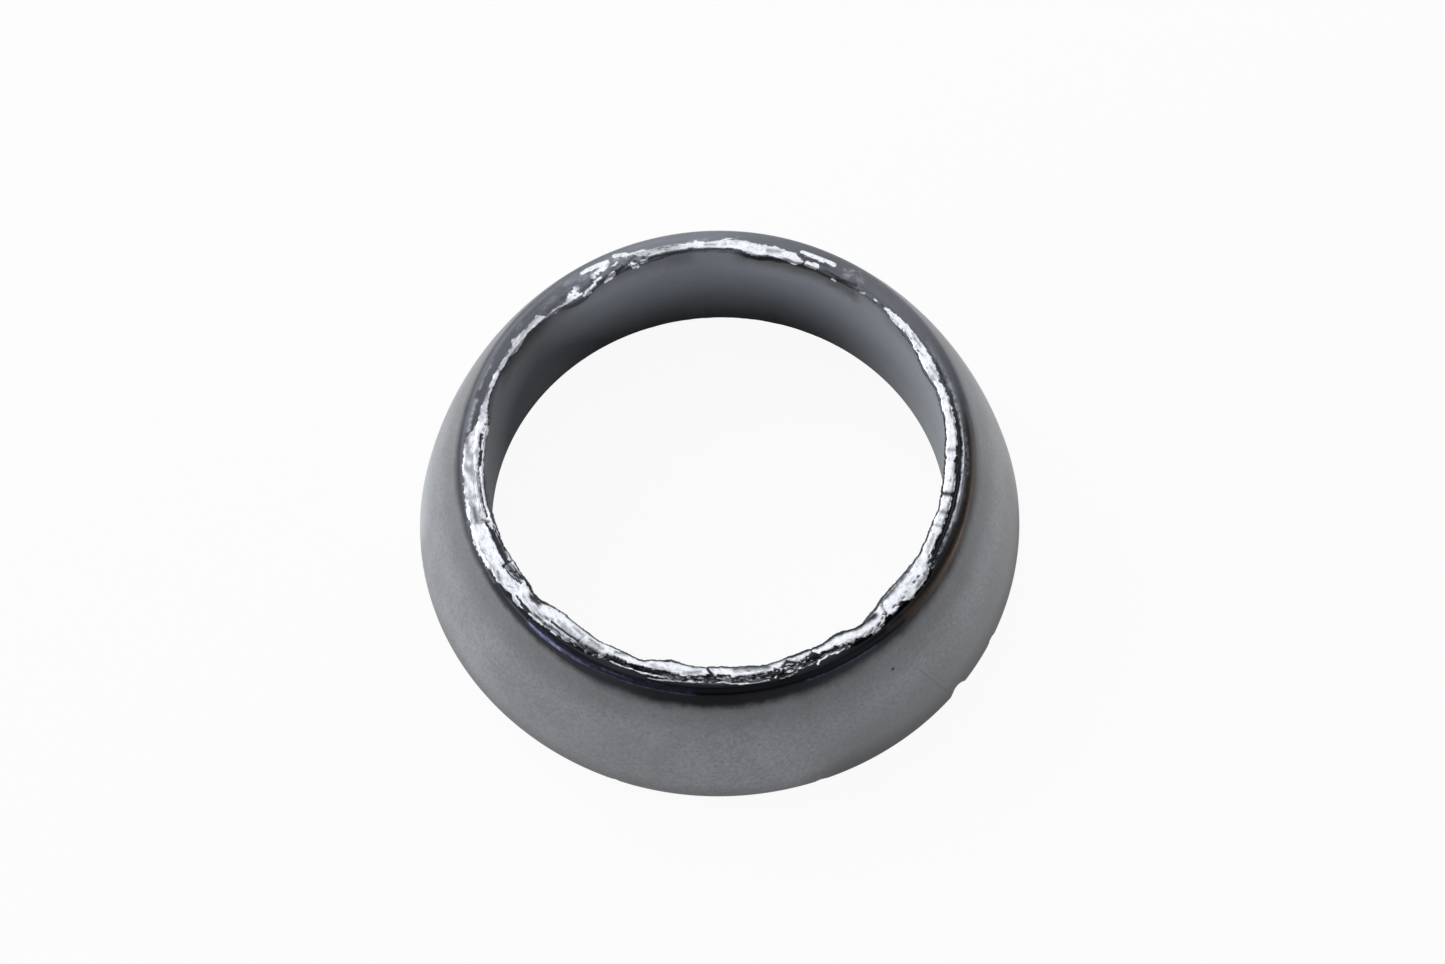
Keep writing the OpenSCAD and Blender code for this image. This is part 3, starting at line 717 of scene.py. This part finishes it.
ring.data.vertices.foreach_set("co", (places[step_of, row_of] * MM).ravel())
ring.data.update()
keep("way", along)
keep("foil", foil)
keep("dark", dark)
keep("shade", np.maximum(np.maximum(shades, cuts), np.maximum(rim_shade * (across > 0), left_face_shade)))
keep("crumbly", crumbly)
keep("violet_highlight", violet_highlight)
keep("brown", brown)
keep("haze_and_highlight", haze_and_highlight)
keep("inside", ease((across - 0.80) / 0.15) * (radius < bore_radius / MM + 0.6))
keep("burnish_and_reflection_edge", round_ring(BURNISH_AND_REFLECTION_EDGE))
keep("burnish_and_reflection_fade", round_ring(BURNISH_AND_REFLECTION_FADE))
keep("skin_tone_and_reflection", round_ring(SKIN_TONE_AND_REFLECTION))
keep("chipped", chipped)
bpy.ops.object.select_all(action="DESELECT")
ring.select_set(True)
bpy.context.view_layer.objects.active = ring
bpy.ops.object.shade_smooth()
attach(ring, "root")
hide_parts("gasket_ring")

# %% [markdown]
# ## Writing a material as arithmetic
# A finish is easier to read as a formula than as a web of nodes. This small class stands for one
# socket: adding or multiplying two of them adds the Math node that does it, and any other node comes
# from one method.

# %% A socket with arithmetic
class Wire:
    """A value that changes over the surface: one output socket of a material's node tree."""

    def __init__(self, tree, socket=None):
        self.tree = tree
        self.socket = socket

    def node(self, kind, settings=None, values=None, output=0):
        """Adds a node of that type. Its settings come first, then its sockets get values or wires."""
        made = self.tree.nodes.new(kind)
        for name, value in (settings or {}).items():
            setattr(made, name, value)
        for name, value in (values or {}).items():
            if isinstance(value, Wire):
                self.tree.links.new(value.socket, made.inputs[name])
            else:
                made.inputs[name].default_value = value
        return Wire(self.tree, made.outputs[output])

    def math(self, operation, first, second=0.0):
        return self.node("ShaderNodeMath", {"operation": operation}, {0: first, 1: second})

    def __add__(self, other):
        return self.math("ADD", self, other)

    def __radd__(self, other):
        return self.math("ADD", other, self)

    def __sub__(self, other):
        return self.math("SUBTRACT", self, other)

    def __rsub__(self, other):
        return self.math("SUBTRACT", other, self)

    def __mul__(self, other):
        return self.math("MULTIPLY", self, other)

    def __rmul__(self, other):
        return self.math("MULTIPLY", other, self)

    def __truediv__(self, other):
        return self.math("DIVIDE", self, other)

    def __pow__(self, other):
        return self.math("POWER", self, other)

    def between(self, low, high):
        """0 below low, 1 above high and a smooth rise between."""
        values = {"Value": self, "From Min": low, "From Max": high}
        return self.node("ShaderNodeMapRange", {"interpolation_type": "SMOOTHSTEP"}, values)

    def towards(self, other, share):
        """This colour, turned towards the other one by share."""
        values = {0: share, 6: self, 7: other}
        return self.node("ShaderNodeMix", {"data_type": "RGBA"}, values, output=2)

    def part(self, number):
        """One of the three parts of a place."""
        return self.node("ShaderNodeSeparateXYZ", values={0: self}, output=number)

    def into(self, socket):
        self.tree.links.new(self.socket, socket)


def new_material(name):
    """An empty material with its surface shader, and a first wire to build from."""
    material = bpy.data.materials.new(name)
    material.use_nodes = True
    tree = material.node_tree
    return material, tree.nodes["Principled BSDF"], Wire(tree)


# %% [markdown]
# ## The ring's finish
# One material covers the whole ring, because it is one pressed piece. The graphite is a satin dark
# grey, with painted light and shade on the flank and in the bore. The press has burnished the
# shoulder, which is smoother; its dark colour is partly burnish and partly painted reflection, with
# painted highlights. The foil of the lip is bright bare metal with painted shade in its creases.

# %% Places that the finish reads
material, skin, start = new_material("pressed_graphite_and_foil")
place = start.node("ShaderNodeTexCoord", output=3)
in_mm = start.node("ShaderNodeVectorMath", {"operation": "SCALE"}, {0: place, "Scale": 1000.0})


def kept(name):
    return start.node("ShaderNodeAttribute", {"attribute_name": name}, output=2)


x, y, z = (in_mm.part(k) for k in range(3))
distance = (x * x + y * y) ** 0.5
turn = start.math("ARCTAN2", y, x) * (180 / math.pi)
along_section = kept("way")
foil_mask, dark_mask, shade_mask, crumbly_mask = kept("foil"), kept("dark"), kept("shade"), kept("crumbly")
violet_highlight_mask, brown_mask, inside_mask, chip_mask = kept("violet_highlight"), kept("brown"), kept("inside"), kept("chipped")
haze_and_highlight_mask = kept("haze_and_highlight")
burnish_and_reflection_edge, burnish_and_reflection_fade, skin_tone_and_reflection = kept("burnish_and_reflection_edge"), kept("burnish_and_reflection_fade"), kept("skin_tone_and_reflection")


def drawn_along(share):
    """Places in millimetres, drawn out along the ring that many times."""
    reach = MID_RADIUS / share
    return start.node("ShaderNodeCombineXYZ", values={0: x / distance * reach, 1: y / distance * reach, 2: along_section})


def speckle(vector, size, detail=2.0, roughness=0.5):
    """Noise from 0 to 1 with spots of about that size."""
    values = {"Vector": vector, "Scale": 1 / size, "Detail": detail, "Roughness": roughness}
    return start.node("ShaderNodeTexNoise", values=values)


def seen(red, green, blue):
    """A colour given as it looks on a screen, from 0 to 255."""
    linear = [((c / 255 + 0.055) / 1.055) ** 2.4 for c in (red, green, blue)]
    return (*linear, 1.0)


def colour(*screen):
    """A plain colour as a wire, to start a mix."""
    return start.node("ShaderNodeMix", {"data_type": "RGBA"}, {0: 0.0, 6: seen(*screen), 7: seen(*screen)}, output=2)


def window(value, first, last, fade):
    """1 from first to last and 0 elsewhere, with soft ends."""
    return value.between(first - fade, first) * (1 - value.between(last, last + fade))


def spot(azimuth_deg, height_mm, size):
    """1 in a small round spot on the flank and 0 elsewhere."""
    reach = math.sqrt(flank_dome ** 2 - (height_mm * MM - flank_centre[1]) ** 2) + flank_centre[0]
    a = math.radians(azimuth_deg)
    centre = (reach / MM * math.cos(a), reach / MM * math.sin(a), height_mm)
    away = start.node("ShaderNodeVectorMath", {"operation": "DISTANCE"}, {0: in_mm, 1: centre}, output=1)
    return 1 - away.between(size * 0.5, size)


# %% Zones
cloud = speckle(in_mm, 5.0, detail=4.0)
smudge = speckle(in_mm, 1.6, detail=4.0, roughness=0.6)
grain = speckle(in_mm, 0.16, detail=3.0, roughness=0.6)
coarse_grain = speckle(in_mm, 0.42, detail=4.0, roughness=0.75)
streak = speckle(drawn_along(12), 0.30, detail=3.0)
foil_spots = speckle(drawn_along(2), 0.20, detail=4.0, roughness=0.65)
foil_streaks = speckle(drawn_along(9), 0.14, detail=3.0, roughness=0.6)
mottle = speckle(drawn_along(1.8), 0.55, detail=5.0, roughness=0.68)

foil_cover = foil_mask + (foil_streaks + foil_spots - 1.0) * 2.2 * foil_mask * (1 - foil_mask)
foil_cover = foil_cover.between(0.15, 0.80)
shade_share = shade_mask * (2 - shade_mask)
# The burnished zone of the shoulder. Its dark colour is partly painted reflection.
rise_above = (z + (smudge - 0.5) * 0.8 + (cloud - 0.5) * 0.4 + (grain - 0.5) * 0.35 - burnish_and_reflection_edge) / burnish_and_reflection_fade
burnish_and_reflection = rise_above.between(-1.0, 1.0) * (1 - chip_mask)
in_bore = (inside_mask - foil_cover).between(0.1, 0.9)
near = window(turn, -150.0, -28.0, 34.0)
# Masks for painted shade low on the near side and the right, and painted light low on the left.
low_near_shade = window(turn, -150.0, -12.0, 22.0)
low_right_shade = window(turn, -64.0, -4.0, 16.0) * (1 - z.between(2.0, 12.0))
base_edge_shade = window(turn, -66.0, -8.0, 12.0)
low_left_light = (turn.between(150.0, 168.0) + (1 - turn.between(-179.9, -174.0))) * (1 - z.between(1.0, 8.0))
left_bore = turn.between(114.0, 142.0) + (1 - turn.between(-160.0, -140.0))
far = window(turn, 70.0, 120.0, 55.0)

# %% Colour
graphite = colour(157, 160, 166).towards(seen(148, 150, 154), cloud.between(0.35, 0.65))
graphite = graphite.towards(seen(88, 88, 88), coarse_grain.between(0.50, 0.70) * 0.42)
graphite = graphite.towards(seen(192, 194, 197), (1 - coarse_grain.between(0.32, 0.49)) * 0.40)
graphite = graphite.towards(seen(112, 110, 106), smudge.between(0.55, 0.75) * 0.20)
# Painted shade and light on the flank by height and side: darker near the base and towards the shoulder, darker low on
# the right and near left, lighter low on the left.
graphite = graphite.towards(seen(96, 96, 98), (1 - (z + (smudge - 0.5) * 1.5).between(0.2, 3.0)) * low_near_shade * 0.6)
graphite = graphite.towards(seen(104, 104, 107), (z + (smudge - 0.5) * 1.2).between(8.3, 13.6) * (0.48 + near * 0.08))
graphite = graphite.towards(seen(118, 119, 122), low_right_shade * 0.80)
graphite = graphite.towards(seen(50, 50, 52), (1 - (z + (smudge - 0.5) * 1.0).between(0.0, 4.0)) * base_edge_shade * 0.76)
graphite = graphite.towards(seen(96, 96, 99), window(turn, -40.0, -8.0, 12.0) * z.between(11.0, 13.5) * 0.18)
graphite = graphite.towards(seen(118, 119, 122), window(turn, -135.0, -105.0, 14.0) * (1 - z.between(7.0, 11.0)) * 0.3)
graphite = graphite.towards(seen(200, 203, 208), low_left_light * 0.6)
scratch_share = (z - 9.2) / (2.4 - 9.2)
off_scratch = start.math("ABSOLUTE", turn - (scratch_share * 4.3 - 48.3) + (smudge - 0.5) * 0.5)
scratch = (1 - off_scratch.between(0.06, 0.20)) * window(scratch_share, 0.0, 1.0, 0.05) * grain.between(0.38, 0.5)
mark = spot(-53.57, 11.59, 0.26) + spot(-43.68, 2.53, 0.18) * 0.8 + scratch * 0.36
graphite = graphite.towards(seen(22, 22, 24), mark)
# The dark shoulder's colour: painted reflection by azimuth, painted shade on the seat, a brown stain and painted
# highlights.
dark_skin = colour(8, 8, 10).towards(seen(136, 140, 149), skin_tone_and_reflection * (0.75 + streak * 0.5))
# Painted reflection: a grey band along the top of the shoulder on the near side.
near_top_reflection = window(turn, -140.0, -30.0, 15.0) * window(z, 15.92, 16.06, 0.08)
dark_skin = dark_skin.towards(seen(52, 54, 60), near_top_reflection)
dark_skin = dark_skin.towards(seen(66, 68, 75), near_top_reflection * window(turn, -60.0, -30.0, 10.0))
seat_shade = window(turn, -58.0, 2.0, 12.0) * (z + (smudge - 0.5) * 0.05).between(16.04, 16.16)
dark_skin = dark_skin.towards(seen(14, 14, 17), seat_shade * 0.75)
dark_skin = dark_skin.towards(seen(100, 82, 68), brown_mask * (0.6 + streak * 0.5))
violet_highlight_share = start.math("MINIMUM", violet_highlight_mask * (streak * 2.1 - 0.2), 1.0)
dark_skin = dark_skin.towards(seen(140, 146, 196), violet_highlight_share)
dark_skin = dark_skin.towards(seen(196, 202, 212), haze_and_highlight_mask * (0.35 + mottle * 0.8))
body = graphite.towards(dark_skin, burnish_and_reflection)
# The bore's colour is painted shade: darker low on the far wall, less dark low on the left, lighter upwards.
bore_low = colour(106, 112, 120).towards(seen(50, 51, 53), far)
bore_colour = bore_low.towards(seen(131, 139, 151), (z + (cloud - 0.5) * 3).between(-1.0, 14.0))
bore_colour = bore_colour.towards(seen(96, 99, 104), smudge.between(0.5, 0.8) * 0.3)
bore_colour = bore_colour.towards(seen(118, 120, 124), left_bore * (z + cloud * 2).between(-1.0, 2.0))
# A painted shadow on the bore wall under the lip.
under_lip_shadow = window(turn, 52.0, 80.0, 5.0) * 1.15 + (window(turn, 97.0, 128.0, 6.0) + window(turn, 138.0, 152.0, 6.0)) * 0.6
under_lip_shadow = under_lip_shadow + window(turn, 18.0, 38.0, 6.0) * 0.35
bore_colour = bore_colour.towards(seen(30, 31, 34), (z + (smudge - 0.5) * 1.6).between(12.6, 15.2) * under_lip_shadow * 0.85)
body = body.towards(bore_colour, in_bore)
# The cracks and the painted shade darken the body.
body = body.towards(seen(44, 46, 53), dark_mask * 0.9)
foil_colour = colour(241, 244, 250).towards(seen(176, 180, 190), foil_spots.between(0.48, 0.72) * 0.6)
foil_colour = foil_colour.towards(seen(104, 108, 118), mottle.between(0.50, 0.68) * (0.36 + crumbly_mask * 0.55))
# The painted shade and the dark marks darken the foil.
foil_colour = foil_colour.towards(seen(50, 53, 60), shade_share)
foil_colour = foil_colour.towards(seen(44, 46, 53), dark_mask.between(0.25, 0.8))
surface = body.towards(foil_colour, foil_cover)
# Painted shade in the chip hollows.
surface = surface.towards(seen(30, 30, 32), chip_mask)
surface.into(skin.inputs["Base Color"])

# %% Gloss and relief
metal = 0.2 - (1 - z.between(0.5, 4.5)) * base_edge_shade * 0.16
metal = metal + burnish_and_reflection * 0.7 * (1 - in_bore) * (1 - violet_highlight_share * 0.5) * (1 - haze_and_highlight_mask * 0.5) * (1 - brown_mask * 0.6)
metal = metal + (1 - metal) * foil_cover
metal = metal * (1 - dark_mask * 0.6)
metal.into(skin.inputs["Metallic"])
dull = 0.42 + grain * 0.06 - burnish_and_reflection * (0.02 + near * 0.14) * (1 - in_bore)
dull = dull + (0.26 + foil_spots * 0.10 - dull) * foil_cover
dull = dull + (0.6 - dull) * dark_mask * foil_cover
dull.into(skin.inputs["Roughness"])
fine_relief = grain * 0.008 * (1 - foil_cover) * (1 - burnish_and_reflection) + streak * 0.006 * burnish_and_reflection * (1 - foil_cover)
fine_relief = fine_relief + (foil_spots * 0.010 + foil_streaks * 0.006) * foil_cover
bump = start.node("ShaderNodeBump", values={"Strength": 1.0, "Distance": MM, "Height": fine_relief})
bump.into(skin.inputs["Normal"])

# %% [markdown]
# The bore wall is dry graphite without any gloss, and its colour is painted darker towards the base as
# shade. It is a second surface shader with no shine at all, and a mask mixes it in.

# %% Dry bore wall
tree = material.node_tree
dry = tree.nodes.new("ShaderNodeBsdfPrincipled")
dry.inputs["Roughness"].default_value = 0.9
dry.inputs["Specular IOR Level"].default_value = 0.1
bore_colour.into(dry.inputs["Base Color"])
tree.links.new(bump.socket, dry.inputs["Normal"])
dryness = (1 - z.between(0.0, 12.0) * 0.8) * far + left_bore * 0.75
either = start.node("ShaderNodeMixShader", values={0: in_bore * dryness})
tree.links.new(skin.outputs[0], either.socket.node.inputs[1])
tree.links.new(dry.outputs[0], either.socket.node.inputs[2])
either.into(tree.nodes["Material Output"].inputs["Surface"])
ring.data.materials.clear()
ring.data.materials.append(material)
print("nodes in the finish:", len(tree.nodes))

# %% [markdown]
# ## Floor and studio light
# The ring stands on a plain pale floor. A soft panel hangs over and behind it and makes the lip
# bright, a broad softbox stands at the back on the left, and a low strip on the right. The floor
# shows almost white to the camera and in the ring's gloss, and still takes the ring's shadow.

# %% Floor
FLOOR_SIZE = 6
WHITE_SHARE = 0.93
bpy.ops.object.select_all(action="DESELECT")
bpy.ops.mesh.primitive_plane_add(size=FLOOR_SIZE)
floor = bpy.context.object
floor.name = "floor"
floor_material, floor_skin, on_floor = new_material("pale_floor")
floor_skin.inputs["Base Color"].default_value = (0.9, 0.9, 0.9, 1)
floor_skin.inputs["Roughness"].default_value = 0.9
floor_skin.inputs["Specular IOR Level"].default_value = 0.0
camera_ray, glossy_ray, clear_ray = (on_floor.node("ShaderNodeLightPath", output=name)
                                     for name in ("Is Camera Ray", "Is Glossy Ray", "Is Transmission Ray"))
shown = on_floor.math("MINIMUM", camera_ray + glossy_ray + clear_ray, 1.0)
white = on_floor.node("ShaderNodeEmission", values={"Strength": 1.0})
floor_look = on_floor.node("ShaderNodeMixShader", values={0: shown * WHITE_SHARE, 2: white})
on_floor.tree.links.new(floor_skin.outputs[0], floor_look.socket.node.inputs[1])
floor_look.into(on_floor.tree.nodes["Material Output"].inputs["Surface"])
floor.data.materials.append(floor_material)


# %% Lamps
def softbox(name, azimuth_deg, elevation_deg, away, width, tall, radiance, tint=(1, 1, 1)):
    """An area lamp that faces the ring. Its power follows from its size and how bright its face is."""
    bpy.ops.object.light_add(type="AREA")
    lamp = bpy.context.object
    lamp.name = name
    lamp.data.shape = "RECTANGLE"
    lamp.data.size = width
    lamp.data.size_y = tall
    lamp.data.energy = radiance * math.pi * width * tall
    lamp.data.color = tint
    towards, lift = math.radians(azimuth_deg), math.radians(elevation_deg)
    direction = Vector((math.cos(towards) * math.cos(lift), math.sin(towards) * math.cos(lift), math.sin(lift)))
    facing = direction.to_track_quat("Z", "Y").to_matrix().to_4x4()
    lamp.matrix_world = Matrix.Translation(direction * away) @ facing
    return lamp


softbox("panel_overhead", 90, 74, 0.7, 0.6, 0.70, 1.0)
softbox("panel_back", 72, 26, 0.95, 1.0, 0.7, 0.9)
softbox("softbox_left_back", 145, 32, 0.85, 1.0, 0.5, 2.6, (0.98, 0.99, 1))
softbox("softbox_left", 200, 16, 0.9, 0.5, 0.22, 3.0, (0.96, 0.98, 1))
softbox("strip_right", 12, 14, 0.8, 0.6, 0.10, 3.0)

# %% [markdown]
# The room is pale along the horizon and dark above it, so that the bright foil has something dark to
# reflect.

# %% Room
world = bpy.context.scene.world or bpy.data.worlds.new("studio")
bpy.context.scene.world = world
world.use_nodes = True
room = Wire(world.node_tree)
upward = room.node("ShaderNodeTexCoord", output=0).part(2)
horizon, above = (0.40, 0.405, 0.41, 1), (0.13, 0.133, 0.14, 1)
room_colour = room.node("ShaderNodeMix", {"data_type": "RGBA"}, {0: upward.between(0.10, 0.26), 6: horizon, 7: above}, output=2)
seen_by_camera = room.node("ShaderNodeLightPath", output="Is Camera Ray")
room_colour = room_colour.towards((0.94, 0.94, 0.94, 1), seen_by_camera)
room_colour.into(world.node_tree.nodes["Background"].inputs["Color"])
bpy.context.scene.view_settings.view_transform = "Standard"
